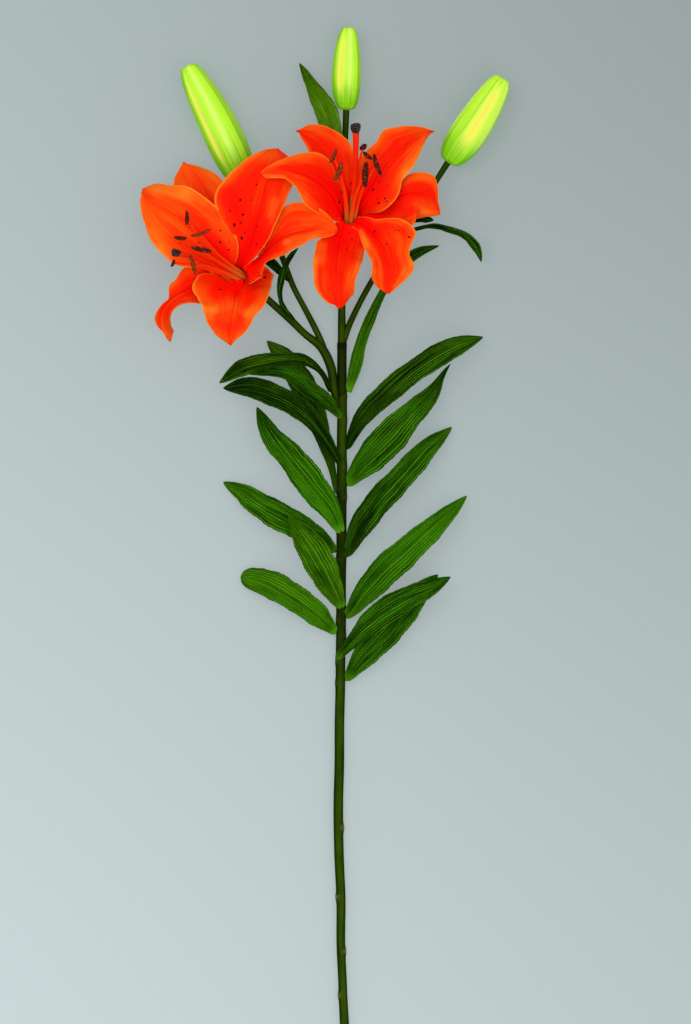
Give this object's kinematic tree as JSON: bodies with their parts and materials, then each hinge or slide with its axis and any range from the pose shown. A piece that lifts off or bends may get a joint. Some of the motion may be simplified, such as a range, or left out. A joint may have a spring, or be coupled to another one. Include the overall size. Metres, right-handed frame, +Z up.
{
  "type": "tiger lily",
  "caption": "Cut lily spray lying on a surface: leafy stem, open orange flowers with stamens and pistil, and closed green buds on stalks.",
  "frame": {"origin": "on the surface that the spray lies on, under the centre of its bounding box", "axes": "+Y runs along the stem from its cut end to the flowers, +Z is up off the surface, +X is to the right seen from above with the flowers away from the viewer"},
  "size_m": [0.2944, 0.807, 0.0954],
  "materials": {
    "petal": "Satin saturated orange-red petal, redder at the throat and along the midrib, orange at the wavy edges, with fine parallel veins and a few dark maroon spots.",
    "leaf": "Satin deep green leaf with parallel veins of brighter yellow green and a paler underside.",
    "stem": "Smooth dark olive green stem with tiny dark specks, paler scars and a darker band at the fork.",
    "bud": "Satin lime green closed bud with yellow streaks along its ribs and darker green edges.",
    "stamen": "Orange-red filament with an olive foot, and a powdery dark brown anther with ochre flecks.",
    "pistil": "Smooth orange-red style on a green ovary, with a dark grey-brown stigma of three lobes."
  },
  "bodies": {
    "root": {"bract_left_folded": "leaf", "bract_left_hidden": "leaf", "bract_right_arched": "leaf", "bract_right_long": "leaf", "bract_right_short": "leaf", "centre_stalk": "stem", "leaf_left_1": "leaf", "leaf_left_2": "leaf", "leaf_left_3": "leaf", "leaf_left_4": "leaf", "leaf_left_5": "leaf", "leaf_left_6": "leaf", "leaf_left_7": "leaf", "leaf_left_8": "leaf", "leaf_right_1": "leaf", "leaf_right_2": "leaf", "leaf_right_3": "leaf", "leaf_right_4": "leaf", "leaf_right_5": "leaf", "leaf_right_6": "leaf", "leaf_top": "leaf", "left_bud": "bud", "left_bud_stalk": "stem", "left_flower_stalk": "stem", "left_inner_tepal_bottom": "petal", "left_inner_tepal_left": "petal", "left_inner_tepal_top": "petal", "left_outer_tepal_bottom": "petal", "left_outer_tepal_right": "petal", "left_outer_tepal_top": "petal", "left_pistil": "pistil", "left_stamen_1": "stamen", "left_stamen_2": "stamen", "left_stamen_3": "stamen", "left_stamen_4": "stamen", "left_stamen_5": "stamen", "left_stamen_6": "stamen", "right_bud": "bud", "right_bud_stalk": "stem", "right_flower_stalk": "stem", "right_inner_tepal_bottom": "petal", "right_inner_tepal_left": "petal", "right_inner_tepal_top": "petal", "right_outer_tepal_bottom": "petal", "right_outer_tepal_right": "petal", "right_outer_tepal_top": "petal", "right_pistil": "pistil", "right_stamen_1": "stamen", "right_stamen_2": "stamen", "right_stamen_3": "stamen", "right_stamen_4": "stamen", "right_stamen_5": "stamen", "right_stamen_6": "stamen", "stem": "stem", "top_bud": "bud"}
  },
  "joints": []
}
